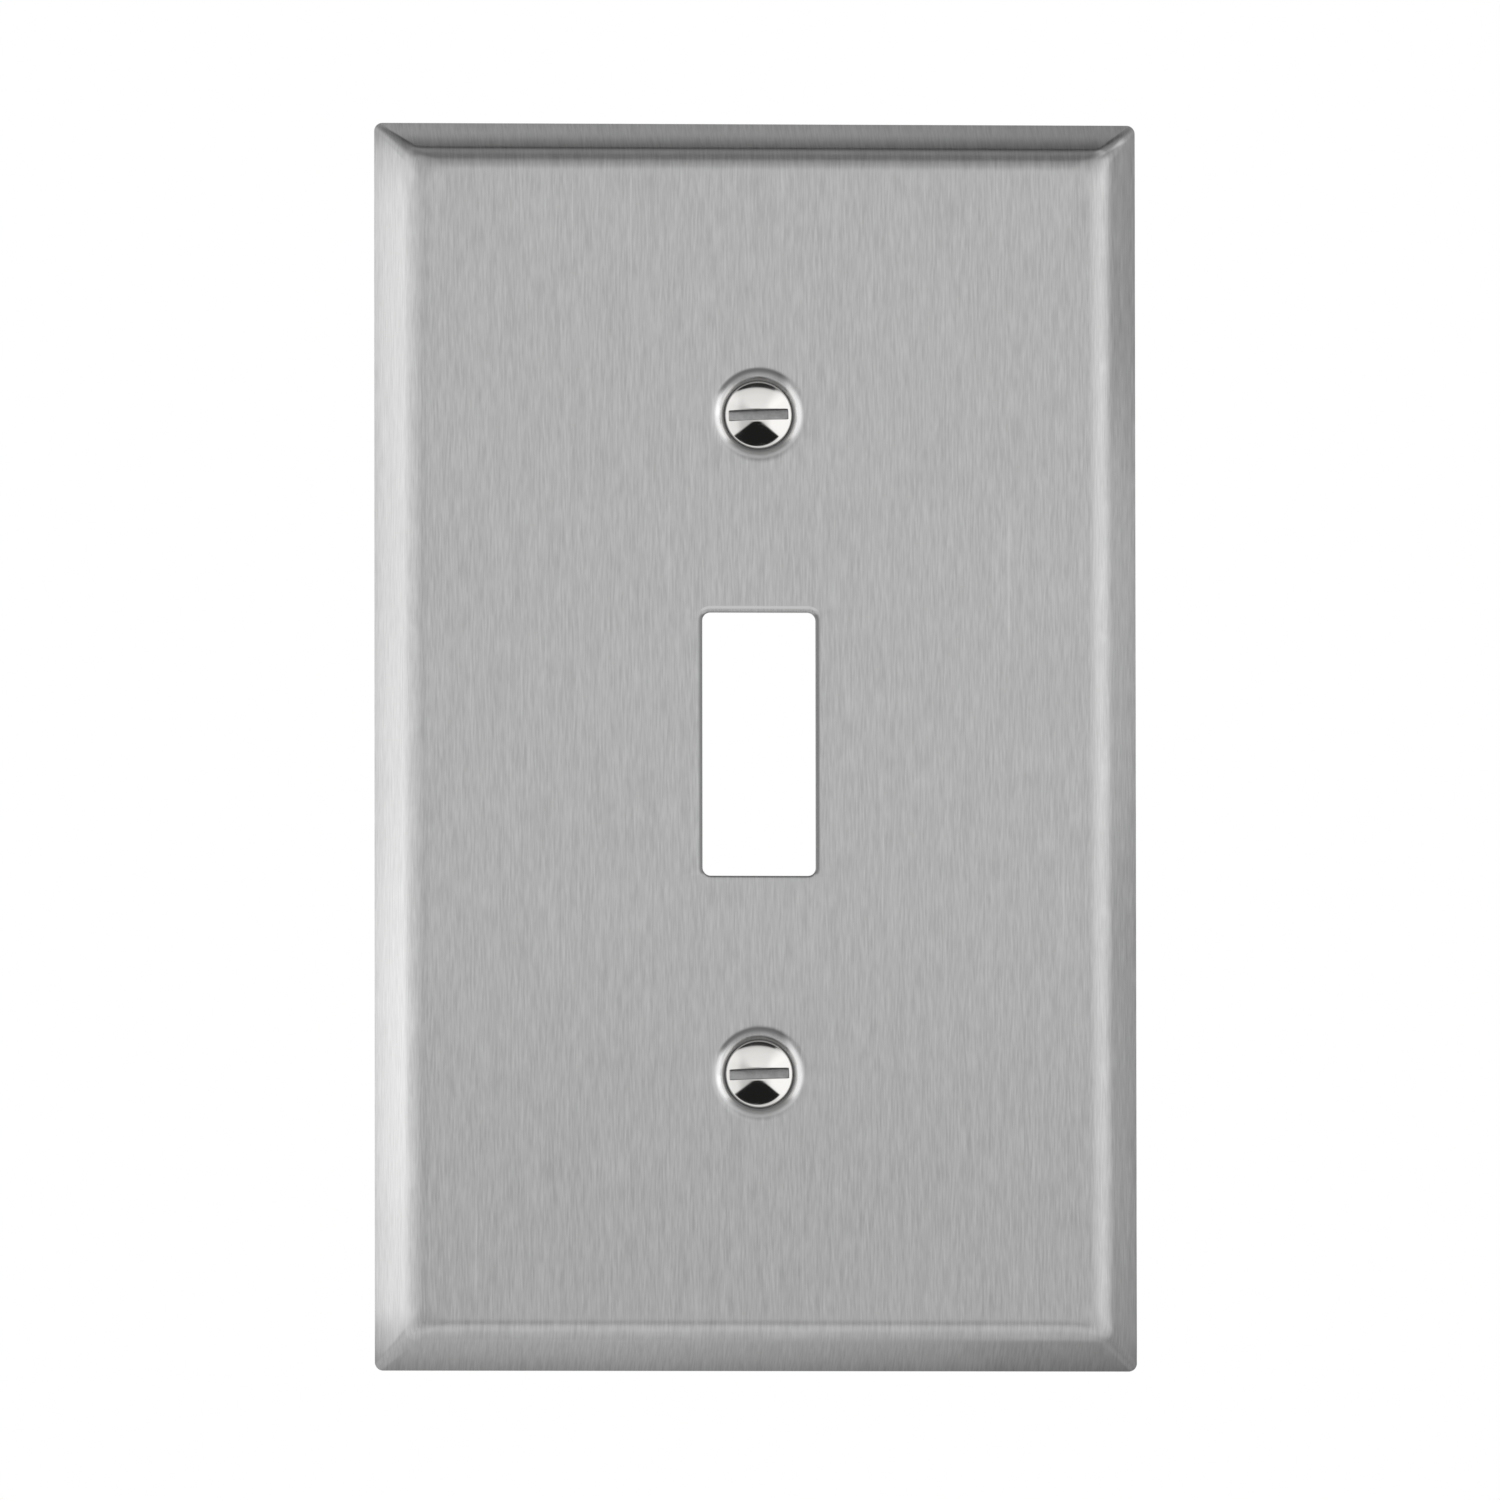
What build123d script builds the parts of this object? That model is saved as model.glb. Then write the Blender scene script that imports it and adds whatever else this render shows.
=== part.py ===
from build123d import *
import os
from math import cos, radians, sin, sqrt, tan

# A single-gang toggle switch wall plate, pressed from one stainless sheet, with its two
# slotted oval-head screws. Millimetres. The plate stands upright with +Z up and faces -Y.
# The wall plane is y = 0, and the origin is the middle of the rim that rests on the wall.

os.makedirs("parts", exist_ok=True)

# ---- plate ----
plate_width = 69.85  # 2 3/4 in
plate_height = 114.30  # 4 1/2 in
plate_depth = 5.1  # wall plane to front face
sheet = 0.8
bevel_angle = 58.0  # slope of the border, from the face
bend_radius = 2.7  # outside of the bend between face and border
corner_radius = 0.9  # outside of the mitred corners

# ---- toggle opening ----
toggle_width = 10.4
toggle_height = 24.1
toggle_corner = 0.75
toggle_roll = 0.25  # rounding that the punch leaves on the front edge

# ---- screw holes and the dishes pressed around them ----
screw_spacing = 60.325  # 2 3/8 in
seat_angle = 82.0  # included angle of the countersink
dish_radius = 4.55  # where the dish leaves the flat face
dish_bend = 1.5  # front radius where the face rolls into the dish
hole_radius = 2.0

# ---- screws: No. 6-32, slotted oval head, 1/2 in ----
head_radius = 3.1
head_band = 0.15  # upright edge between the dome and the cone
head_edge = 0.12  # rounding between the dome and the edge
dome_height = 0.9
seat_gap = 0.05  # room between the head's cone and the dish
screw_length = 12.7  # edge of the head to the tip
neck_radius = 1.475
thread_radius = 1.745
thread_pitch = 25.4 / 32
thread_depth = 0.445
thread_start = -1.8  # y where the shank reaches its full radius, clear of the dish
tip_chamfer = 0.45
slot_length = 5.45
slot_width = 0.95
slot_corner = 0.2  # the milled slot's ends
slot_depth = 1.15  # from the top of the dome
slot_tilt = 2.0  # degrees from level
thread_overrun = 1.0  # how far the thread cutter passes the tip

# ---- worked out from the above ----
slope_tan = tan(radians(bevel_angle))
cone_slope = radians(90 - seat_angle / 2)  # slope of the seat, from the face
face_y = -plate_depth
screw_heights = {"top_screw": screw_spacing / 2, "bottom_screw": -screw_spacing / 2}
wall_plane = Plane.XZ  # local x is +X, local y is +Z, and it faces the viewer


def seat_point(radius, layer=0.0):
    """(radius, y) on the dish's cone, layer deep in the sheet, from the radius at its front."""
    bend_end = dish_radius - dish_bend * sin(cone_slope)
    depth = dish_bend * (1 - cos(cone_slope)) + (bend_end - radius) * tan(cone_slope)
    return (radius + layer * sin(cone_slope), face_y + depth + layer * cos(cone_slope))


def bevelled_block(width, height, depth, bend, corner):
    """A block with its back on the wall plane, four sloping sides and rounded edges."""
    spare = 1.0  # the block starts this far behind the wall plane and is cut back to it
    overhang = spare / slope_tan
    with BuildPart() as block:
        with BuildSketch(wall_plane.offset(-2 * spare)):
            Rectangle(width + 2 * overhang, height + 2 * overhang)
        extrude(amount=depth + 2 * spare)
        front = block.faces().sort_by(Axis.Y)[0]
        slope_depth = depth + spare
        chamfer(front.edges(), length=slope_depth / slope_tan, length2=slope_depth, reference=front)
        split(bisect_by=wall_plane, keep=Keep.TOP)
        fillet(block.faces().sort_by(Axis.Y)[0].edges(), bend)
        mitres = block.edges().filter_by(Axis.X, reverse=True).filter_by(Axis.Z, reverse=True)
        fillet(mitres, corner)
    return block.part


def dish_profile(layer):
    """Half section of the dish, layer deep in the sheet, from the flat to the cone's end."""
    bend = dish_bend - layer
    centre = (dish_radius, face_y + dish_bend)
    start = (dish_radius, face_y + layer)
    middle_angle = cone_slope / 2
    middle = (centre[0] - bend * sin(middle_angle), centre[1] - bend * cos(middle_angle))
    end = (centre[0] - bend * sin(cone_slope), centre[1] - bend * cos(cone_slope))
    ThreePointArc(start, middle, end)
    Line(end, seat_point(hole_radius, layer))


def screw_axis(height):
    return Axis((0, 0, height), (0, 1, 0))


# ---- cover plate ----
hem = sheet / sin(radians(bevel_angle))  # the sheet's width where the rim meets the wall
outside = bevelled_block(plate_width, plate_height, plate_depth, bend_radius, corner_radius)
inside = bevelled_block(
    plate_width - 2 * hem,
    plate_height - 2 * hem,
    plate_depth - sheet,
    bend_radius - sheet,
    corner_radius - sheet,
)

with BuildPart() as cover_plate:
    add(outside)
    add(inside, mode=Mode.SUBTRACT)

    with BuildSketch(wall_plane):
        RectangleRounded(toggle_width, toggle_height, toggle_corner)
    extrude(amount=2 * plate_depth, mode=Mode.SUBTRACT)
    front_face = cover_plate.faces().sort_by(Axis.Y)[0]
    fillet(front_face.inner_wires()[0].edges(), toggle_roll)

    cone_front = seat_point(hole_radius)
    cone_back = seat_point(hole_radius, sheet)
    mid_sheet = face_y + sheet / 2
    in_front = face_y - sheet
    behind = plate_depth
    for height in screw_heights.values():
        # the back of the dish, as a plug that the front of the dish then hollows out
        with BuildSketch(Plane.XY.offset(height)):
            with BuildLine():
                dish_profile(sheet)
                Polyline(
                    cone_back,
                    (0, cone_back[1]),
                    (0, mid_sheet),
                    (dish_radius, mid_sheet),
                    (dish_radius, face_y + sheet),
                )
            make_face()
        revolve(axis=screw_axis(height))
        # the front of the dish, and the hole, which flares because it was pierced first
        with BuildSketch(Plane.XY.offset(height)):
            with BuildLine():
                dish_profile(0)
                Polyline(
                    cone_front,
                    cone_back,
                    (cone_back[0], behind),
                    (0, behind),
                    (0, in_front),
                    (dish_radius, in_front),
                    (dish_radius, face_y),
                )
            make_face()
        revolve(axis=screw_axis(height), mode=Mode.SUBTRACT)
cover_plate.part.label = "cover_plate"
export_step(cover_plate.part, "parts/cover_plate.step")


# ---- screws ----
seat_y = seat_point(head_radius)[1] - seat_gap / cos(cone_slope)
rim_y = seat_y - head_band
apex_y = rim_y - dome_height
tip_y = rim_y + screw_length
neck_y = seat_y + (head_radius - neck_radius) * tan(cone_slope)
dome_radius = (head_radius**2 + dome_height**2) / (2 * dome_height)


def dome_y(radius):
    return apex_y + dome_radius - sqrt(dome_radius**2 - radius**2)


def oval_head_screw(height):
    """One screw on the plate's centre line, at the given height."""
    with BuildPart() as screw:
        with BuildSketch(Plane.XY.offset(height)):
            with BuildLine():
                half_out = head_radius / 2
                ThreePointArc((0, apex_y), (half_out, dome_y(half_out)), (head_radius, rim_y))
                Polyline(
                    (head_radius, rim_y),
                    (head_radius, seat_y),
                    (neck_radius, neck_y),
                    (neck_radius, thread_start - (thread_radius - neck_radius)),
                    (thread_radius, thread_start),
                    (thread_radius, tip_y - tip_chamfer),
                    (thread_radius - tip_chamfer, tip_y),
                    (0, tip_y),
                    (0, apex_y),
                )
            make_face()
        revolve(axis=screw_axis(height))
        rims = screw.edges().filter_by(lambda edge: edge.is_closed)
        fillet(rims.sort_by(Axis.Y)[0], head_edge)

        # the slot, closed at both ends
        with BuildSketch(wall_plane.offset(-(apex_y + slot_depth))):
            with Locations((0, height)):
                RectangleRounded(slot_length, slot_width, slot_corner, rotation=slot_tilt)
        extrude(amount=2 * slot_depth, mode=Mode.SUBTRACT)

        # the thread: a 60 degree groove wound round the shank and out past its tip
        groove_centre = Vector(0, thread_start + thread_pitch / 2, height)
        with BuildLine():
            groove_path = Helix(
                pitch=thread_pitch,
                height=tip_y + thread_overrun - groove_centre.Y,
                radius=thread_radius,
                center=groove_centre,
                direction=(0, 1, 0),
            )
        start = groove_path @ 0
        outward = (start - groove_centre).normalized()
        crest_half = thread_pitch * 7 / 16
        root_half = crest_half - thread_depth * tan(radians(30))
        with BuildSketch(Plane(origin=start, x_dir=outward, z_dir=groove_path % 0)):
            with BuildLine():
                lip = 0.05  # the cutter stands this far outside the crest
                lip_half = crest_half + lip * tan(radians(30))
                Polyline(
                    (lip, -lip_half),
                    (-thread_depth, -root_half),
                    (-thread_depth, root_half),
                    (lip, lip_half),
                    close=True,
                )
            make_face()
        sweep(path=groove_path, is_frenet=True, mode=Mode.SUBTRACT)
    return screw


for name, height in screw_heights.items():
    screw = oval_head_screw(height)
    screw.part.label = name
    export_step(screw.part, f"parts/{name}.step")
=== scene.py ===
import math

import bmesh
import bpy
import numpy as np
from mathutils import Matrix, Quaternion, Vector, geometry


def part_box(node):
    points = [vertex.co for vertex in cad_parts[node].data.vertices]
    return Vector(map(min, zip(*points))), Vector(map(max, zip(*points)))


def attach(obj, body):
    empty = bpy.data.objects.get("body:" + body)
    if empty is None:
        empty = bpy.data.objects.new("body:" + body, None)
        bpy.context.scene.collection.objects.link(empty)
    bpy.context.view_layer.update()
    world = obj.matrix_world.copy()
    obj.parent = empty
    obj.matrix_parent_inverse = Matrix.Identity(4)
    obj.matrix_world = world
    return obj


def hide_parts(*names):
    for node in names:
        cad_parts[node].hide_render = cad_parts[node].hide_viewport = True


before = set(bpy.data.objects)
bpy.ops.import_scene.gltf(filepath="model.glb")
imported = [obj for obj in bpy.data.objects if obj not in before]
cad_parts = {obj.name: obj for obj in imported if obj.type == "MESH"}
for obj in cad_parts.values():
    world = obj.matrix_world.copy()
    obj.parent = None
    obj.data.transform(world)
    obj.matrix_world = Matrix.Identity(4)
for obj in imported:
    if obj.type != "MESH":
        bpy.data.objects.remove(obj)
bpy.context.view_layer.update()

# A single-gang toggle switch wall plate of brushed stainless sheet, with its two slotted
# oval-head screws. It stands upright with +Z up and faces -Y, and the wall plane is y = 0.

MM = 0.001

# ---- sizes that the frame's boxes don't give, in metres ----
SHEET = 0.8 * MM
BEVEL = math.radians(58)  # slope of the border, from the face
BEND = 2.7 * MM
CORNERS = (0.76 * MM, 2.2 * MM)  # seen from the front, at the rim and round the flat
TOGGLE_WIDTH, TOGGLE_HEIGHT = 10.4 * MM, 24.1 * MM
TOGGLE_CORNER, TOGGLE_ROLL = 0.75 * MM, 0.25 * MM
DISH_RADIUS, DISH_BEND = 4.55 * MM, 1.5 * MM
SEAT = math.radians(49)  # slope of the countersink, from the face
HOLE_RADIUS = 2.0 * MM
HEAD_BAND, HEAD_EDGE, DOME_HEIGHT = 0.15 * MM, 0.12 * MM, 0.9 * MM
NECK_RADIUS, THREAD_RADIUS, THREAD_DEPTH = 1.475 * MM, 1.745 * MM, 0.445 * MM
PITCH = 25.4 / 32 * MM
THREAD_START, TIP_CHAMFER = -1.8 * MM, 0.45 * MM
SCREW_LENGTH = 12.7 * MM  # edge of the head to the tip
SLOT_LENGTH, SLOT_WIDTH, SLOT_DEPTH = 5.45 * MM, 0.95 * MM, 1.15 * MM
SLOT_CORNER, SLOT_TILT = 0.2 * MM, math.radians(2)
SLOT_LIP, SLOT_FILLET = 0.05 * MM, 0.12 * MM  # roundings along its edge and round its floor

# ---- sizes from the frame ----
plate_low, plate_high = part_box("cover_plate")
PLATE_HALF = ((plate_high.x - plate_low.x) / 2, (plate_high.z - plate_low.z) / 2)
FACE_Y = plate_low.y
SCREWS = {name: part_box(name) for name in ("top_screw", "bottom_screw")}
SCREW_HEIGHTS = {name: (low.z + high.z) / 2 for name, (low, high) in SCREWS.items()}
HEAD_RADIUS = (SCREWS["top_screw"][1].x - SCREWS["top_screw"][0].x) / 2
DOME_RADIUS = (HEAD_RADIUS**2 + DOME_HEIGHT**2) / (2 * DOME_HEIGHT)  # of the ball it is cut from
RIM_RADIUS = HEAD_RADIUS - 0.8 * HEAD_EDGE  # where the dome rolls over into the edge


# ---------------------------------------------------------------- mesh building
class Skin:
    """Vertices and faces, gathered as closed loops that are bridged one to the next."""

    def __init__(self):
        self.points, self.faces = [], []

    def loop(self, points):
        start = len(self.points)
        self.points.extend(points)
        return list(range(start, len(self.points)))

    def bridge(self, first, second):
        count = len(first)
        for i in range(count):
            j = (i + 1) % count
            self.faces.append((first[i], first[j], second[j], second[i]))

    def loft(self, loops):
        rings = [self.loop(points) for points in loops]
        for first, second in zip(rings, rings[1:]):
            self.bridge(first, second)
        return rings

    def cap(self, ring):
        """Closes a ring with a fan round its middle."""
        middle = sum((Vector(self.points[i]) for i in ring), Vector()) / len(ring)
        centre = self.loop([middle])[0]
        for i, j in zip(ring, ring[1:] + ring[:1]):
            self.faces.append((i, j, centre))

    def build(self, name, sharp_angle):
        mesh = bpy.data.meshes.new(name)
        mesh.from_pydata([tuple(p) for p in self.points], [], self.faces)
        mesh.validate()
        obj = bpy.data.objects.new(name, mesh)
        bpy.context.scene.collection.objects.link(obj)
        bm = bmesh.new()
        bm.from_mesh(mesh)
        bmesh.ops.remove_doubles(bm, verts=bm.verts, dist=1e-7)
        bmesh.ops.recalc_face_normals(bm, faces=bm.faces)
        bm.to_mesh(mesh)
        bm.free()
        mesh.shade_smooth()
        mesh.set_sharp_from_angle(angle=sharp_angle)
        weighted = obj.modifiers.new("weighted_normals", "WEIGHTED_NORMAL")
        weighted.keep_sharp = True
        weighted.weight = 100
        return obj


def quarter_turns(steps):
    """Angles over a quarter turn, in even steps."""
    return [math.pi / 2 * step / steps for step in range(steps + 1)]


def between(start, end, part):
    return tuple(a + (b - a) * part for a, b in zip(start, end))


def rounded_rectangle(half_width, half_height, radius, corner_steps, across, up):
    """(x, z) points round a rectangle, with the same count whatever its size."""
    radius = max(radius, 0.02 * MM)
    inner = (half_width - radius, half_height - radius)
    arcs = []
    for quarter, (side, end) in enumerate(((1, 1), (-1, 1), (-1, -1), (1, -1))):
        arc = []
        for step in range(corner_steps + 1):
            angle = (quarter + step / corner_steps) * math.pi / 2
            x = side * inner[0] + radius * math.cos(angle)
            z = end * inner[1] + radius * math.sin(angle)
            arc.append((x, z))
        arcs.append(arc)
    points = []
    for quarter in range(4):
        points.extend(arcs[quarter])
        last, following = arcs[quarter][-1], arcs[(quarter + 1) % 4][0]
        steps = across if quarter % 2 == 0 else up
        points.extend(between(last, following, step / steps) for step in range(1, steps))
    return points


def circle(radius, centre_z, angles):
    return [(radius * math.cos(a), centre_z + radius * math.sin(a)) for a in angles]


def round_angles(count, start=0.0):
    """Evenly spread angles, once round."""
    return [start + 2 * math.pi * i / count for i in range(count)]


def at_depth(outline, y):
    return [(x, y, z) for x, z in outline]


# ---------------------------------------------------------------- the cover plate
def border_loops(hem, depth, bend, corners):
    """Loops from the wall plane up the slope and round the bend to the edge of the flat."""
    slope_steps, bend_steps = 6, 24
    corner_steps, across, up = 10, 26, 42
    corner_growth = 1.5  # above 1, the corners' rounding grows mostly near the flat
    run = depth / math.tan(BEVEL)
    tangent = bend * math.tan(BEVEL / 2)
    slope_inset = run - tangent * math.cos(BEVEL)
    slope_depth = depth - tangent * math.sin(BEVEL)
    flat_inset = run + tangent
    stations = []
    for step in range(slope_steps):
        part = step / slope_steps
        stations.append((slope_inset * part, slope_depth * part))
    for step in range(bend_steps + 1):
        tilt = BEVEL * (1 - step / bend_steps)
        stations.append((flat_inset - bend * math.sin(tilt), depth - bend * (1 - math.cos(tilt))))
    loops = []
    for inset, height in stations:
        half_x, half_z = (half - hem - inset for half in PLATE_HALF)
        growth = (inset / flat_inset) ** corner_growth
        radius = corners[0] + (corners[1] - corners[0]) * growth
        outline = rounded_rectangle(half_x, half_z, radius, corner_steps, across, up)
        loops.append(at_depth(outline, -height))
    return loops


def toggle_loops():
    """Loops from the front flat round the rolled edge of the opening and through the sheet."""
    corner_steps, across, up = 8, 6, 14
    stations = []
    for turn in quarter_turns(6):
        grow = TOGGLE_ROLL * (1 - math.sin(turn))
        stations.append((grow, FACE_Y + TOGGLE_ROLL * (1 - math.cos(turn))))
    stations.append((0, FACE_Y + SHEET))
    loops = []
    for grow, y in stations:
        half_x, half_z = TOGGLE_WIDTH / 2 + grow, TOGGLE_HEIGHT / 2 + grow
        radius = TOGGLE_CORNER + grow
        outline = rounded_rectangle(half_x, half_z, radius, corner_steps, across, up)
        loops.append(at_depth(outline, y))
    return loops


def dish_loops(centre_z):
    """Loops from the front flat down the dish, round the hole's edge and back up behind."""
    cone_steps = 5
    centre_y = FACE_Y + DISH_BEND
    front, back = [], []
    for layer, bend_steps, stations in ((0, 14, front), (SHEET, 6, back)):
        bend = DISH_BEND - layer
        for step in range(bend_steps + 1):
            tilt = SEAT * step / bend_steps
            stations.append((DISH_RADIUS - bend * math.sin(tilt), centre_y - bend * math.cos(tilt)))
        bend_end, bend_depth = stations[-1]
        mouth = HOLE_RADIUS + layer * math.sin(SEAT)
        for step in range(1, cone_steps + 1):
            radius = bend_end + (mouth - bend_end) * step / cone_steps
            stations.append((radius, bend_depth + (bend_end - radius) * math.tan(SEAT)))
    angles = round_angles(96)
    return [at_depth(circle(r, centre_z, angles), y) for r, y in front + back[::-1]]


def in_opening(x, z, margin):
    if abs(x) < TOGGLE_WIDTH / 2 + margin and abs(z) < TOGGLE_HEIGHT / 2 + margin:
        return True
    heights = SCREW_HEIGHTS.values()
    return any(math.hypot(x, z - height) < DISH_RADIUS + margin for height in heights)


def flat_fill(skin, outer, holes, y):
    """Triangles over the flat between the outer ring and the holes' rings."""
    spacing, tolerance = 2.5 * MM, 1e-9
    inside_outer = 1  # the kind of triangulation that leaves out what is beyond the outer ring
    owner, flat, known, edges = [], [], [], []
    for number, ring in enumerate([outer, *holes]):
        start, count = len(known), len(ring)
        edges.extend((start + i, start + (i + 1) % count) for i in range(count))
        known.extend(ring)
        owner.extend([number] * count)
        flat.extend(Vector((skin.points[i][0], skin.points[i][2])) for i in ring)
    half_x, half_z = max(p.x for p in flat), max(p.y for p in flat)
    for x in np.arange(-half_x + spacing, half_x - spacing / 2, spacing):
        for z in np.arange(-half_z + spacing, half_z - spacing / 2, spacing):
            if not in_opening(x, z, spacing / 2):
                known.append(skin.loop([(x, y, z)])[0])
                owner.append(0)
                flat.append(Vector((x, z)))
    filled = geometry.delaunay_2d_cdt(flat, edges, [], inside_outer, tolerance)
    _, _, triangles, origins, _, _ = filled
    for triangle in triangles:
        corners = [origins[i][0] for i in triangle]
        owners = {owner[i] for i in corners}
        if owners == {0} or len(owners) > 1:  # the holes are convex, so the rest lie in them
            skin.faces.append([known[i] for i in corners])


def cover_plate():
    """The pressed sheet: both of its sides, the rim between them, the opening and the dishes."""
    skin = Skin()
    hem = SHEET / math.sin(BEVEL)
    outside = skin.loft(border_loops(0, -FACE_Y, BEND, CORNERS))
    inside_corners = [max(radius - SHEET, 0.1 * MM) for radius in CORNERS]
    inside = skin.loft(border_loops(hem, -FACE_Y - SHEET, BEND - SHEET, inside_corners))
    skin.bridge(inside[0], outside[0])
    openings = [skin.loft(toggle_loops())]
    openings += [skin.loft(dish_loops(height)) for height in SCREW_HEIGHTS.values()]
    flat_fill(skin, outside[-1], [rings[0] for rings in openings], FACE_Y)
    flat_fill(skin, inside[-1], [rings[-1] for rings in openings], FACE_Y + SHEET)
    return skin.build("stamped_plate", math.radians(30))


def grain_map(obj):
    """UV across (U) and along (V) the grain of the flat sheet, carried over its bends."""
    slope_gain = 0.5  # the slope is longer than its run by this share of its depth
    mesh = obj.data
    layer = mesh.uv_layers.new(name="grain")
    for face in mesh.polygons:
        sideways = abs(face.normal.x) > abs(face.normal.z)
        for index in face.loop_indices:
            x, y, z = mesh.vertices[mesh.loops[index].vertex_index].co
            fall = (y - FACE_Y) * slope_gain
            u = x + math.copysign(fall, x) if sideways else x
            v = z if sideways else z + math.copysign(fall, z)
            layer.data[index].uv = (u, v)


# ---------------------------------------------------------------- the screws
class ScrewShape:
    """The loops of one screw, from the floor of its slot round to its tip."""

    def __init__(self, name):
        self.name, self.centre_z = name, SCREW_HEIGHTS[name]
        self.front_y, self.tip_y = (corner.y for corner in SCREWS[name])
        self.rim_y = self.tip_y - SCREW_LENGTH
        self.apex_y = self.rim_y - DOME_HEIGHT  # of the whole dome, before the slot takes its top
        lip = self.slot_outline(SLOT_LIP)
        first_x, first_z = lip[0]
        self.angles = round_angles(len(lip), math.atan2(first_z - self.centre_z, first_x))

    def dome_y(self, x, z):
        out = min(math.hypot(x, z - self.centre_z), HEAD_RADIUS)
        return self.apex_y + DOME_RADIUS - math.sqrt(DOME_RADIUS**2 - out**2)

    def slot_outline(self, grow):
        """Points round the tilted slot, from its right-hand end."""
        corner_steps, across, up = 6, 44, 4
        half_length, half_width = SLOT_LENGTH / 2 + grow, SLOT_WIDTH / 2 + grow
        radius = SLOT_CORNER + grow
        level = rounded_rectangle(half_length, half_width, radius, corner_steps, across, up)
        cos, sin = math.cos(SLOT_TILT), math.sin(SLOT_TILT)
        return [(u * cos - v * sin, self.centre_z + (u * sin + v * cos)) for u, v in level]

    def slot_loops(self):
        """Loops from the slot's floor up its walls and over its lip."""
        floor_y = self.apex_y + SLOT_DEPTH
        loops = []
        for turn in quarter_turns(4):
            outline = self.slot_outline(-SLOT_FILLET * (1 - math.sin(turn)))
            loops.append(at_depth(outline, floor_y - SLOT_FILLET * (1 - math.cos(turn))))
        for turn in quarter_turns(3):
            outline = self.slot_outline(SLOT_LIP * (1 - math.cos(turn)))
            drop = SLOT_LIP * (1 - math.sin(turn))
            loops.append([(x, self.dome_y(x, z) + drop, z) for x, z in outline])
        return loops

    def dome_loops(self):
        """Loops that turn the slot's outline into the dome's rim."""
        ring_steps = 18
        lip = self.slot_outline(SLOT_LIP)
        rim = circle(RIM_RADIUS, self.centre_z, self.angles)
        loops = []
        for step in range(1, ring_steps + 1):
            outline = [between(a, b, step / ring_steps) for a, b in zip(lip, rim)]
            loops.append([(x, self.dome_y(x, z), z) for x, z in outline])
        return loops

    def neck_loops(self):
        """Loops round the rolled rim, down the cone and along the neck to the thread."""
        rim_steps = 6
        rim_slope = math.asin(RIM_RADIUS / DOME_RADIUS)
        rounding = (HEAD_RADIUS - RIM_RADIUS) / (1 - math.sin(rim_slope))
        middle_radius = HEAD_RADIUS - rounding
        middle_y = self.dome_y(RIM_RADIUS, self.centre_z) + rounding * math.cos(rim_slope)
        profile = []
        for step in range(1, rim_steps + 1):
            turn = rim_slope + (math.pi / 2 - rim_slope) * step / rim_steps
            radius = middle_radius + rounding * math.sin(turn)
            profile.append((radius, middle_y - rounding * math.cos(turn)))
        seat_y = self.rim_y + HEAD_BAND
        profile.append((HEAD_RADIUS, seat_y))
        profile.append((NECK_RADIUS, seat_y + (HEAD_RADIUS - NECK_RADIUS) * math.tan(SEAT)))
        profile.append((NECK_RADIUS, THREAD_START - (THREAD_RADIUS - NECK_RADIUS)))
        return [at_depth(circle(r, self.centre_z, self.angles), y) for r, y in profile]

    def thread_loops(self):
        """Loops that each climb one pitch as they go round, from the neck to the tip."""
        crest = 1 / 8
        flank = THREAD_DEPTH * math.tan(math.radians(30)) / PITCH
        # (share of the pitch, depth): a crest flat, a 60 degree groove and its root flat
        groove = ((0, 0), (crest, 0), (crest + flank, THREAD_DEPTH), (1 - flank, THREAD_DEPTH))
        run_in = 0.5 * PITCH  # the groove reaches its full depth over this
        turns = math.ceil((self.tip_y - THREAD_START) / PITCH) + 2
        loops = []
        for turn in range(-1, turns):
            for phase, depth in groove:
                ring = []
                for angle in self.angles:
                    swing = (angle - self.angles[0]) / (2 * math.pi)
                    y = THREAD_START + (turn + phase + swing) * PITCH
                    y = min(max(y, THREAD_START), self.tip_y)
                    cut = min(max((y - THREAD_START) / run_in, 0), 1)
                    r = THREAD_RADIUS - depth * cut
                    r = min(r, THREAD_RADIUS - TIP_CHAMFER + (self.tip_y - y))
                    ring.append((r * math.cos(angle), y, self.centre_z + r * math.sin(angle)))
                loops.append(ring)
        return loops

    def in_slot(self, point):
        """True on the slot's floor and walls, just short of the lip."""
        spare = 0.01 * MM
        x, z = point.x, point.z - self.centre_z
        u = x * math.cos(SLOT_TILT) + z * math.sin(SLOT_TILT)
        v = z * math.cos(SLOT_TILT) - x * math.sin(SLOT_TILT)
        inside = abs(u) < SLOT_LENGTH / 2 + spare and abs(v) < SLOT_WIDTH / 2 + spare
        return inside and self.front_y + 2 * spare < point.y < FACE_Y + 1.5 * MM


def screw(shape):
    """One screw: dome with a closed slot, cone, neck and a helical thread."""
    skin = Skin()
    rings = skin.loft(shape.slot_loops() + shape.dome_loops() + shape.neck_loops())
    skin.cap(rings[0])
    thread = skin.loft(shape.thread_loops())
    skin.bridge(rings[-1], thread[0])
    skin.cap(thread[-1])
    return skin.build(shape.name + "_turned", math.radians(35))


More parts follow.
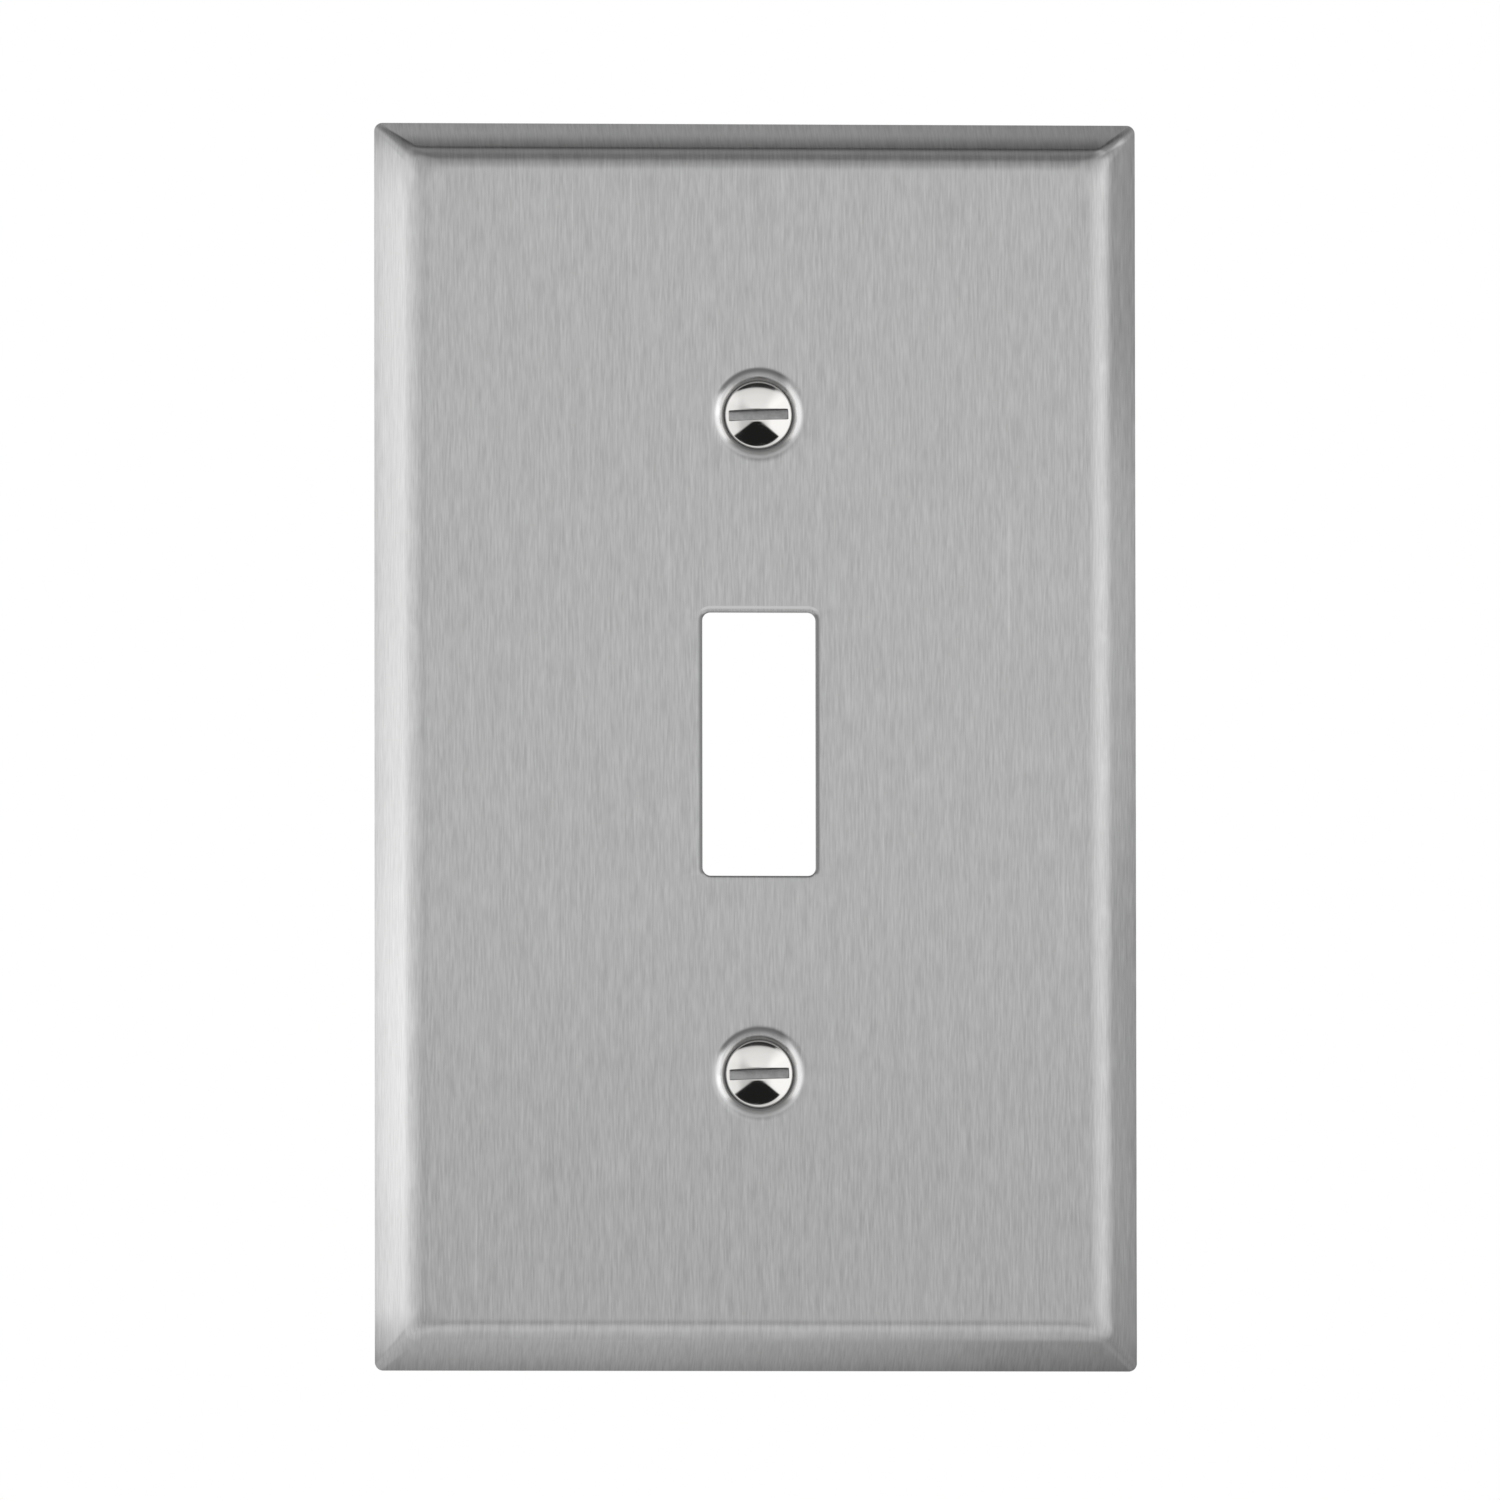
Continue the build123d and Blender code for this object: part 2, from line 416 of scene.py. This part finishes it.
# ---------------------------------------------------------------- node graphs
class Graph:
    """Writes sums on sockets as shader nodes."""

    def __init__(self, tree):
        self.tree = tree

    def node(self, kind, **settings):
        made = self.tree.nodes.new(kind)
        for key, value in settings.items():
            setattr(made, key, value)
        return made

    def feed(self, socket, value):
        if isinstance(value, bpy.types.NodeSocket):
            self.tree.links.new(value, socket)
        else:
            socket.default_value = value

    def math(self, operation, *values, clamp=False):
        made = self.node("ShaderNodeMath", operation=operation, use_clamp=clamp)
        for socket, value in zip(made.inputs, values):
            self.feed(socket, value)
        return made.outputs[0]

    def times(self, first, *others):
        for value in others:
            first = self.math("MULTIPLY", first, value)
        return first

    def minus(self, first, second):
        return self.math("SUBTRACT", first, second)

    def size(self, value):
        """The value without its sign."""
        return self.math("ABSOLUTE", value)

    def distance(self, across, up):
        squares = [self.math("POWER", value, 2.0) for value in (across, up)]
        return self.math("SQRT", self.math("ADD", *squares))

    def degrees(self, up, across):
        """The angle of the direction (across, up)."""
        return self.times(self.math("ARCTAN2", up, across), 180 / math.pi)

    def step(self, value, low, high, to_low=0.0, to_high=1.0):
        """Goes smoothly from to_low at low to to_high at high."""
        made = self.node("ShaderNodeMapRange", interpolation_type="SMOOTHSTEP")
        for socket, number in zip(made.inputs, (value, low, high, to_low, to_high)):
            self.feed(socket, number)
        return made.outputs[0]

    def curve(self, value, stops, ease="EASE"):
        """A curve through (value, height) stops."""
        low, high = stops[0][0], stops[-1][0]
        top = max(height for _, height in stops)
        share = self.math("DIVIDE", self.minus(value, low), high - low, clamp=True)
        ramp = self.node("ShaderNodeValToRGB")
        ramp.color_ramp.interpolation = ease
        elements = ramp.color_ramp.elements
        while len(elements) < len(stops):
            elements.new(0.5)
        for element, (place, height) in zip(elements, stops):
            element.position = (place - low) / (high - low)
            level = height / top
            element.color = (level, level, level, 1)
        self.feed(ramp.inputs[0], share)
        return self.times(ramp.outputs[0], top)

    def blend(self, share, first, second):
        """The first value where the share is 0, the second where it is 1."""
        made = self.node("ShaderNodeMix", data_type="FLOAT")
        for index, value in ((0, share), (2, first), (3, second)):  # input 1 is for vectors
            self.feed(made.inputs[index], value)
        return made.outputs[0]

    def noise(self, vector, scale=1.0, detail=2.0, roughness=0.5, seed=0.0):
        made = self.node("ShaderNodeTexNoise", noise_dimensions="4D")
        self.feed(made.inputs["Vector"], vector)
        self.feed(made.inputs["W"], seed)
        self.feed(made.inputs["Scale"], scale)
        self.feed(made.inputs["Detail"], detail)
        self.feed(made.inputs["Roughness"], roughness)
        return made.outputs["Fac"]

    def parts(self, vector):
        made = self.node("ShaderNodeSeparateXYZ")
        self.feed(made.inputs[0], vector)
        return tuple(made.outputs)

    def place(self):
        """The point on the object, as a vector."""
        return self.node("ShaderNodeTexCoord").outputs["Object"]

    def stretched(self, vector, scale):
        made = self.node("ShaderNodeMapping")
        self.feed(made.inputs["Vector"], vector)
        made.inputs["Scale"].default_value = scale
        return made.outputs[0]


# ---------------------------------------------------------------- light
# light from straight ahead (0) round to the left (-) and right (+), in degrees
WALLS = (
    (-180, 0.9), (-125, 1.4), (-103, 1.45), (-85, 1.2), (-60, 1.05), (-42, 0.95), (-25, 0.64),
    (0, 0.52), (12, 0.9), (30, 1.17), (75, 1.17), (96, 0.9), (120, 0.72), (180, 0.9),
)
# light from straight ahead down to the floor (-) and up over the ceiling (+), in degrees
VAULT = (
    (-180, 0.8), (-125, 0.55), (-95, 0.72), (-70, 0.82), (-30, 0.8), (-13, 0.45), (0, 0.51),
    (14, 0.52), (37, 0.46), (50, 0.38), (57, 0.03), (71, 0.03), (76, 0.34), (97, 0.4),
    (106, 0.16), (125, 0.16), (180, 0.8),
)
# the dark opening ahead and below, as shares of its distance
OPENING_REACH, OPENING_SLANT, OPENING_POINT = 1.48, 0.8, 0.07


def dark_opening(g, across, up):
    """1 in the dark opening: a wedge with its rounded point just below straight ahead."""
    slant = g.distance(g.times(across, OPENING_SLANT), OPENING_POINT)
    wedge = g.minus(g.minus(0.0, slant), up)
    reach = g.distance(across, up)
    inside = g.step(reach, OPENING_REACH + 0.05, OPENING_REACH - 0.05)
    return g.times(g.step(wedge, 0.0, 0.08), inside)


def studio_world():
    """Pale walls, a darker ceiling and floor, and the dark opening below."""
    world = bpy.data.worlds.new("studio")
    bpy.context.scene.world = world
    world.use_nodes = True
    world.node_tree.nodes.clear()
    g = Graph(world.node_tree)
    right, back, up = g.parts(g.node("ShaderNodeTexCoord").outputs["Generated"])
    front = g.times(back, -1.0)

    walls = g.curve(g.degrees(right, front), WALLS)
    vault = g.curve(g.degrees(up, front), VAULT)
    clock = g.degrees(g.size(up), g.size(right))  # 0 to the sides, 90 above and below
    light = g.blend(g.step(clock, 30.0, 62.0), walls, vault)

    # the room is dimmer to the lower right, beside the viewer
    dimming = 0.42
    diagonal = g.times(g.step(clock, 3.0, 22.0), g.step(clock, 87.0, 68.0))
    aside = g.times(g.step(right, 0.05, 0.35), g.step(up, -0.05, -0.35))
    dim = g.times(diagonal, aside, g.step(front, 0.5, 0.15))
    light = g.times(light, g.minus(1.0, g.times(dim, dimming)))

    ahead = g.math("MAXIMUM", front, 0.001)
    opening = dark_opening(g, g.math("DIVIDE", right, ahead), g.math("DIVIDE", up, ahead))
    light = g.blend(opening, light, 0.015)

    seen = g.node("ShaderNodeLightPath").outputs["Is Camera Ray"]
    background = g.node("ShaderNodeBackground")
    background.inputs["Color"].default_value = (1, 1, 1, 1)
    g.feed(background.inputs["Strength"], g.blend(seen, light, 1.0))
    g.feed(g.node("ShaderNodeOutputWorld").inputs["Surface"], background.outputs[0])


def panel(name, size, place, towards, radiance, onto, shape=None):
    """A soft panel that lights only the pieces in onto; shape(g, x, z) masks it by position."""
    width, height = size
    data = bpy.data.lights.new(name, "AREA")
    data.shape = "RECTANGLE"
    data.size, data.size_y = width, height
    data.energy = radiance * math.pi * width * height
    obj = bpy.data.objects.new(name, data)
    bpy.context.scene.collection.objects.link(obj)
    obj.location = place
    obj.rotation_mode = "QUATERNION"
    obj.rotation_quaternion = (Vector(towards) - Vector(place)).to_track_quat("-Z", "Y")
    obj.visible_camera = False
    linked = bpy.data.collections.new(name + "_falls_on")
    for piece in onto:
        linked.objects.link(piece)
    obj.light_linking.receiver_collection = linked
    if shape:
        data.use_nodes = True
        data.node_tree.nodes.clear()
        g = Graph(data.node_tree)
        x, _, z = g.parts(g.node("ShaderNodeNewGeometry").outputs["Position"])
        emission = g.node("ShaderNodeEmission")
        g.feed(emission.inputs["Strength"], shape(g, x, z))
        g.feed(g.node("ShaderNodeOutputLight").inputs["Surface"], emission.outputs[0])


def distant_panel(name, low, high, radiance, onto, shape):
    """A far panel straight ahead, from low to high in (across, up) shares of its distance."""
    distance = 3.0
    size = [(b - a) * distance for a, b in zip(low, high)]
    x, z = ((a + b) / 2 * distance for a, b in zip(low, high))

    def masked(g, across, up):
        return shape(g, g.math("DIVIDE", across, distance), g.math("DIVIDE", up, distance))

    panel(name, size, (x, -distance, z), (x, 0, z), radiance, onto, masked)


def plate_fill(g, across, up):
    """Over the dark opening, which the plate's duller metal shows only near its point."""
    return g.times(dark_opening(g, across, up), g.step(up, -0.36, -0.6, 0.35, 1.0))


def upper_half(g, across, up):
    """Over the room ahead and above, fading towards the sides and the upper edge."""
    clock = g.math("ARCTAN2", up, g.size(across))
    slope = g.math("DIVIDE", up, g.math("MAXIMUM", g.size(across), 1.0))
    return g.times(g.step(slope, 1.5, 1.38), g.step(clock, math.radians(25), math.radians(62)))


def panels(plate, screws):
    """Two far panels ahead, one high in front and two close to the plate's upper half."""
    distant_panel("fill", (-1.6, -1.6), (1.7, 0.1), radiance=0.92, onto=[plate], shape=plate_fill)
    distant_panel("key", (-1.6, 0.1), (1.6, 1.6), radiance=0.45, onto=screws, shape=upper_half)
    panel("ceiling", (4.0, 0.7), (0, -1.27, 2.72), (0, 0, 0), radiance=0.2, onto=[plate])
    near_y, front_z, side_z = -0.15, 0.0385, 0.027
    front, side = (0, near_y, front_z), (0.26, near_y, side_z)
    panel("front", (0.5, 0.124), front, (0, 0, front_z), radiance=0.135, onto=[plate])
    panel("side", (0.3, 0.06), side, (0, 0, side_z), radiance=0.2, onto=[plate])


# ---------------------------------------------------------------- surroundings
# each side of the board: its light by the distance from the rim, and how that changes along
# the rim, both in mm
LEFT_BOARD = ((0, 1.08), (1, 1.16), (3, 1.4), (5, 1.75), (60, 1.8))
LEFT_HEIGHTS = (
    (-57, 0.25), (-54, 0.6), (-51, 1.0), (-46, 1.02), (-37, 1.13), (-22, 1.15), (0, 1.03),
    (18, 0.98), (47, 0.98), (51, 0.97), (54, 0.8), (57, 0.4),
)
RIGHT_BOARD = ((0, 0.48), (1, 0.54), (3, 0.68), (5, 0.74), (60, 0.75))
RIGHT_HEIGHTS = (
    (-57, 0.36), (-51, 0.62), (-40, 0.74), (-18, 0.74), (0, 0.98), (18, 1.0), (40, 0.64),
    (57, 0.58),
)
TOP_BOARD = ((0, 0.44), (2, 0.5), (3.5, 0.75), (4.1, 0.0), (9, 0.0), (20, 0.32), (60, 0.4))
TOP_WIDTHS = ((-35, 1.06), (0, 1.0), (35, 0.85))
BOTTOM_BOARD = ((0, 0.37), (1.3, 0.43), (4.1, 0.55), (7, 0.68), (60, 0.7))
BOTTOM_WIDTHS = ((-35, 1.04), (-12, 1.08), (0, 1.0), (14, 0.92), (27, 0.74), (35, 0.68))


def flat_object(name, points, faces, material):
    mesh = bpy.data.meshes.new(name)
    mesh.from_pydata(points, [], faces)
    mesh.materials.append(material)
    obj = bpy.data.objects.new(name, mesh)
    bpy.context.scene.collection.objects.link(obj)
    return obj


def wall_board():
    """A board round the rim, in the wall's plane, that only the border reflects."""
    material = bpy.data.materials.new("wall_board")
    material.use_nodes = True
    material.node_tree.nodes.clear()
    g = Graph(material.node_tree)
    half_x, half_z = PLATE_HALF
    place = g.parts(g.place())
    x, z = (g.times(place[axis], 1 / MM) for axis in (0, 2))
    out_x = g.minus(g.size(x), half_x / MM)
    out_z = g.minus(g.size(z), half_z / MM)

    def side(out, board, position, shares):
        return g.times(g.curve(out, board, "LINEAR"), g.curve(position, shares))

    left = side(out_x, LEFT_BOARD, z, LEFT_HEIGHTS)
    right = side(out_x, RIGHT_BOARD, z, RIGHT_HEIGHTS)
    top = side(out_z, TOP_BOARD, x, TOP_WIDTHS)
    bottom = side(out_z, BOTTOM_BOARD, x, BOTTOM_WIDTHS)
    sides = g.blend(g.math("GREATER_THAN", x, 0.0), left, right)
    ends = g.blend(g.math("GREATER_THAN", z, 0.0), bottom, top)
    emission = g.node("ShaderNodeEmission")
    level = g.blend(g.math("GREATER_THAN", out_z, out_x), sides, ends)
    g.feed(emission.inputs["Strength"], level)
    g.feed(g.node("ShaderNodeOutputMaterial").inputs["Surface"], emission.outputs[0])

    reach, y = 60 * MM, 0.4 * MM
    points = []
    for grow in (0.0, reach):
        side_x, end_z = half_x + grow, half_z + grow
        points += [(side_x, y, end_z), (-side_x, y, end_z)]
        points += [(-side_x, y, -end_z), (side_x, y, -end_z)]
    faces = [(i, (i + 1) % 4, 4 + (i + 1) % 4, 4 + i) for i in range(4)]
    obj = flat_object("wall_board", points, faces, material)
    obj.visible_camera = obj.visible_diffuse = obj.visible_shadow = False
    obj.visible_transmission = obj.visible_volume_scatter = False


def floor():
    """A plain pale floor, well below the plate, which hangs on a wall in use."""
    material = bpy.data.materials.new("floor")
    material.use_nodes = True
    nodes = material.node_tree.nodes
    shader = nodes["Principled BSDF"]
    shader.inputs["Base Color"].default_value = (0.86, 0.86, 0.85, 1)
    shader.inputs["Roughness"].default_value = 0.9
    shader.inputs["Emission Color"].default_value = (1, 1, 1, 1)
    shader.inputs["Emission Strength"].default_value = 0.3
    # seen from below, the floor is clear, so that it hides nothing
    g = Graph(material.node_tree)
    mix = g.node("ShaderNodeMixShader")
    g.feed(mix.inputs[0], g.node("ShaderNodeNewGeometry").outputs["Backfacing"])
    g.feed(mix.inputs[1], shader.outputs[0])
    g.feed(mix.inputs[2], g.node("ShaderNodeBsdfTransparent").outputs[0])
    g.feed(nodes["Material Output"].inputs["Surface"], mix.outputs[0])

    reach, height = 3.0, -0.22
    points = [(x * reach, y * reach, height) for x, y in ((-1, -1), (1, -1), (1, 1), (-1, 1))]
    obj = flat_object("floor", points, [(0, 1, 2, 3)], material)
    obj.visible_glossy = False


def camera():
    """Far off, a little to the left and a little below, looking at the middle of the plate."""
    left, below, distance = math.radians(4.0), math.radians(3.2), 3.051
    aim = Vector((-0.50 * MM, 0, -0.27 * MM))
    roll = math.radians(0.07)
    data = bpy.data.cameras.new("camera")
    data.lens, data.sensor_width = 800, 36
    data.clip_start, data.clip_end = 0.01, 20
    obj = bpy.data.objects.new("camera", data)
    bpy.context.scene.collection.objects.link(obj)
    level = Vector((-math.sin(left), -math.cos(left), 0)) * math.cos(below)
    back = level - Vector((0, 0, math.sin(below)))
    obj.location = aim + back * distance
    obj.rotation_mode = "QUATERNION"
    upright = (-back).to_track_quat("-Z", "Y")
    obj.rotation_quaternion = Quaternion(-back, roll) @ upright
    bpy.context.scene.camera = obj


# ---------------------------------------------------------------- materials
class Coat:
    """A metal's tone, roughness and metallic share, with marks laid over one another."""

    def __init__(self, g, tone, roughness):
        self.g = g
        self.levels = {"tone": tone, "roughness": roughness, "metallic": 1.0}

    def mark(self, share, **levels):
        """Where the share is 1, the coat has these levels."""
        for key, level in levels.items():
            self.levels[key] = self.g.blend(share, self.levels[key], level)

    def smooth(self, amount):
        self.levels["roughness"] = self.g.minus(self.levels["roughness"], amount)

    def finish(self, shader):
        colour(self.g, shader, [self.levels["tone"]] * 3)
        self.g.feed(shader.inputs["Roughness"], self.levels["roughness"])
        self.g.feed(shader.inputs["Metallic"], self.levels["metallic"])


def metal(name, anisotropy=0.0):
    material = bpy.data.materials.new(name)
    material.use_nodes = True
    shader = material.node_tree.nodes["Principled BSDF"]
    shader.inputs["Metallic"].default_value = 1.0
    shader.inputs["Anisotropic"].default_value = anisotropy
    return material, Graph(material.node_tree), shader


def colour(g, shader, channels):
    made = g.node("ShaderNodeCombineColor")
    for socket, channel in zip(made.inputs, channels):
        g.feed(socket, channel)
    g.feed(shader.inputs["Base Color"], made.outputs[0])


def from_screw(g, lower=0.0):
    """(x, up, distance) from the nearer screw's axis, or from a line so much lower, in metres."""
    x, _, z = g.parts(g.place())
    up = g.minus(z, g.times(g.math("SIGN", z), SCREW_HEIGHTS["top_screw"]))
    if lower:
        up = g.math("ADD", up, lower)
    return x, up, g.distance(x, up)


def glint_band(g, centre, turn, half_length, half_width):
    """1 along the middle of a short painted highlight band at (x, z), turned so far from level."""
    place = g.parts(g.place())
    x, z = g.minus(place[0], centre[0]), g.minus(place[2], centre[1])
    cos, sin = math.cos(turn), math.sin(turn)
    along = g.size(g.math("ADD", g.times(x, cos), g.times(z, sin)))
    off = g.size(g.minus(g.times(z, cos), g.times(x, sin)))
    inside = g.step(off, half_width, 0.3 * half_width)
    return g.times(g.step(along, half_length, 0.5 * half_length), inside)


def mark_wear_and_glint(g, coat, facing):
    """Handling wears the bends, and a painted highlight, standing in for a glint, lies over the top
    right corner's bend.
    """
    cloud = g.noise(g.place(), scale=220.0, detail=3.0, roughness=0.6, seed=5.0)
    bent = g.times(g.step(facing, 0.97, 0.88), g.step(facing, 0.6, 0.8))
    worn = g.times(bent, g.step(cloud, 0.45, 0.7))
    coat.mark(g.times(worn, 0.25), tone=0.7)
    coat.smooth(g.times(worn, 0.04))
    # painted highlight: a glint over the top right corner's bend
    painted_glint = glint_band(g, (32.4 * MM, 54.95 * MM), math.radians(31), 2.0 * MM, 0.45 * MM)
    coat.mark(g.times(painted_glint, g.step(facing, 0.0, 0.2)), tone=0.95, roughness=0.3)


def paint_dish_light_and_shade(g, coat):
    """Painted light and shade, with matt and polished patches, on the dishes' walls and lips, by
    their distance from the screw's axis.
    """
    x, up, radius = from_screw(g)
    reach = g.math("MAXIMUM", radius, 0.1 * MM)
    rise = g.math("DIVIDE", up, reach)
    sideways = g.math("DIVIDE", g.size(x), reach)
    # a painted highlight keeps the side walls light on a smoother polish, and the lower walls,
    # which the belt misses, are matt and lightened with painted light
    side_highlight = g.times(g.step(radius, 4.2 * MM, 3.75 * MM), g.step(sideways, 0.55, 0.86))
    coat.mark(side_highlight, tone=0.76, roughness=0.18)
    lower = g.times(g.step(radius, 4.15 * MM, 3.85 * MM), g.step(rise, -0.35, -0.6))
    lightened_tone = g.step(radius, 3.5 * MM, 3.85 * MM, 0.42, 0.72)
    coat.mark(g.blend(side_highlight, lower, 0.0), tone=lightened_tone, roughness=0.5, metallic=0.6)
    # painted light makes the upper walls lighter near the head
    wall = g.times(g.step(radius, 3.66 * MM, 3.52 * MM), g.step(radius, 3.38 * MM, 3.48 * MM))
    coat.mark(g.times(wall, g.step(rise, 0.5, 0.75)), tone=0.72)
    # painted shade darkens the upper lips, a little more of it to the left
    lift = g.minus(rise, g.math("DIVIDE", g.times(x, 0.2), reach))
    lip = g.times(g.step(radius, 4.42 * MM, 4.14 * MM), g.step(radius, 3.52 * MM, 4.05 * MM))
    coat.mark(g.times(lip, g.step(lift, 0.55, 0.8)), tone=0.19)
    # painted shade darkens the dishes against the heads, more of it below them
    _, _, radius = from_screw(g, lower=0.1 * MM)
    coat.mark(g.step(radius, 3.42 * MM, 3.22 * MM), tone=0.3, metallic=0.3)


def mark_opening_and_painted_light(g, coat):
    """The punch leaves the edge of the opening rough, and painted shade darkens it, most of all at
    its sides.
    """
    x, _, z = g.parts(g.place())
    over = []
    for value, half in ((x, TOGGLE_WIDTH / 2), (z, TOGGLE_HEIGHT / 2)):
        past = g.minus(g.size(value), half - TOGGLE_CORNER)
        over.append(g.math("MAXIMUM", past, 0.0))
    out = g.minus(g.distance(*over), TOGGLE_CORNER)
    ends = g.step(over[1], TOGGLE_CORNER * 0.6, TOGGLE_CORNER, 1.0, 0.12)
    sheared_and_shaded = g.times(g.step(out, 0.46 * MM, 0.16 * MM), ends)
    coat.mark(sheared_and_shaded, tone=0.25, roughness=0.5)
    # and a painted highlight lies in a line just above it
    line = g.times(g.step(out, 0.3 * MM, 0.38 * MM), g.step(out, 0.62 * MM, 0.54 * MM))
    above = g.step(z, TOGGLE_HEIGHT / 2, TOGGLE_HEIGHT / 2 + 0.3 * MM)
    coat.mark(g.times(line, above), tone=0.63)


def brushed_steel():
    material, g, shader = metal("brushed_steel", anisotropy=0.7)
    grain = g.node("ShaderNodeUVMap", uv_map="grain").outputs[0]
    # the belt's streaks, as so many to the metre across the grain and along it
    fine = g.noise(g.stretched(grain, (6000, 400, 1)), roughness=0.6)
    broad = g.noise(g.stretched(grain, (1500, 90, 1)), seed=3.0)
    streaks = g.math("ADD", g.times(fine, 0.75), g.times(broad, 0.25))
    tone = g.step(streaks, 0.25, 0.75, 0.43, 0.6)
    coat = Coat(g, tone, g.step(streaks, 0.25, 0.75, 0.32, 0.42))
    # a few deeper single scratches from the belt
    scratch = g.noise(g.stretched(grain, (2600, 30, 1)), detail=0.0, seed=7.0)
    coat.mark(g.times(g.step(scratch, 0.76, 0.84), 0.3), tone=0.8)

    _, normal_y, _ = g.parts(g.node("ShaderNodeTexCoord").outputs["Normal"])
    facing = g.times(normal_y, -1.0)  # 1 on the front's flat, 0.53 on its slopes, -1 behind
    mark_wear_and_glint(g, coat, facing)
    paint_dish_light_and_shade(g, coat)
    mark_opening_and_painted_light(g, coat)

    # the back keeps the mill's dull skin
    mill = g.noise(g.stretched(grain, (500, 350, 1)), detail=4.0, roughness=0.6, seed=9.0)
    dull_tone = g.step(mill, 0.3, 0.7, 0.36, 0.46)
    dull_roughness = g.step(mill, 0.3, 0.7, 0.48, 0.6)
    coat.mark(g.step(facing, 0.05, -0.1), tone=dull_tone, roughness=dull_roughness)

    coat.finish(shader)
    tangent = g.node("ShaderNodeTangent", direction_type="UV_MAP", uv_map="grain")
    g.feed(shader.inputs["Tangent"], tangent.outputs[0])
    bump = g.node("ShaderNodeBump")
    bump.inputs["Strength"].default_value = 0.06
    bump.inputs["Distance"].default_value = 0.02 * MM
    g.feed(bump.inputs["Height"], streaks)
    g.feed(shader.inputs["Normal"], bump.outputs[0])
    return material


def polished_nickel():
    material, g, shader = metal("polished_nickel")
    cloud = g.noise(g.place(), scale=900.0, detail=3.0)
    _, _, radius = from_screw(g)
    # painted shade darkens the head's edge, which is also rougher and less metallic
    edge = g.step(radius, 2.93 * MM, 3.06 * MM)
    colour(g, shader, [g.blend(edge, channel, channel * 0.6) for channel in (0.80, 0.79, 0.77)])
    roughness = g.step(cloud, 0.3, 0.7, 0.05, 0.1)
    g.feed(shader.inputs["Roughness"], g.blend(edge, roughness, 0.3))
    g.feed(shader.inputs["Metallic"], g.blend(edge, 1.0, 0.6))
    return material


def shaded_slot_nickel():
    """Painted shade down in the slot, on duller plating."""
    material, g, shader = metal("shaded_slot_nickel")
    cloud = g.noise(g.place(), scale=1500.0, detail=3.0, roughness=0.6)
    colour(g, shader, [g.step(cloud, 0.3, 0.7, 0.36, 0.5)] * 3)
    g.feed(shader.inputs["Roughness"], g.step(cloud, 0.3, 0.7, 0.4, 0.52))
    return material


# ---------------------------------------------------------------- the scene
bpy.context.scene.view_settings.view_transform = "Standard"
studio_world()
floor()
camera()

plate = cover_plate()
grain_map(plate)
plate.data.materials.append(brushed_steel())
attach(plate, "plate")
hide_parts("cover_plate")

# the second material carries painted shade down in the slot
nickel, dull = polished_nickel(), shaded_slot_nickel()
screws = []
for name, body in (("top_screw", "upper_screw"), ("bottom_screw", "lower_screw")):
    shape = ScrewShape(name)
    piece = screw(shape)
    screws.append(piece)
    piece.data.materials.append(nickel)
    piece.data.materials.append(dull)
    for face in piece.data.polygons:
        if shape.in_slot(face.center):
            face.material_index = 1
    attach(piece, body)
    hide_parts(name)

wall_board()
panels(plate, screws)
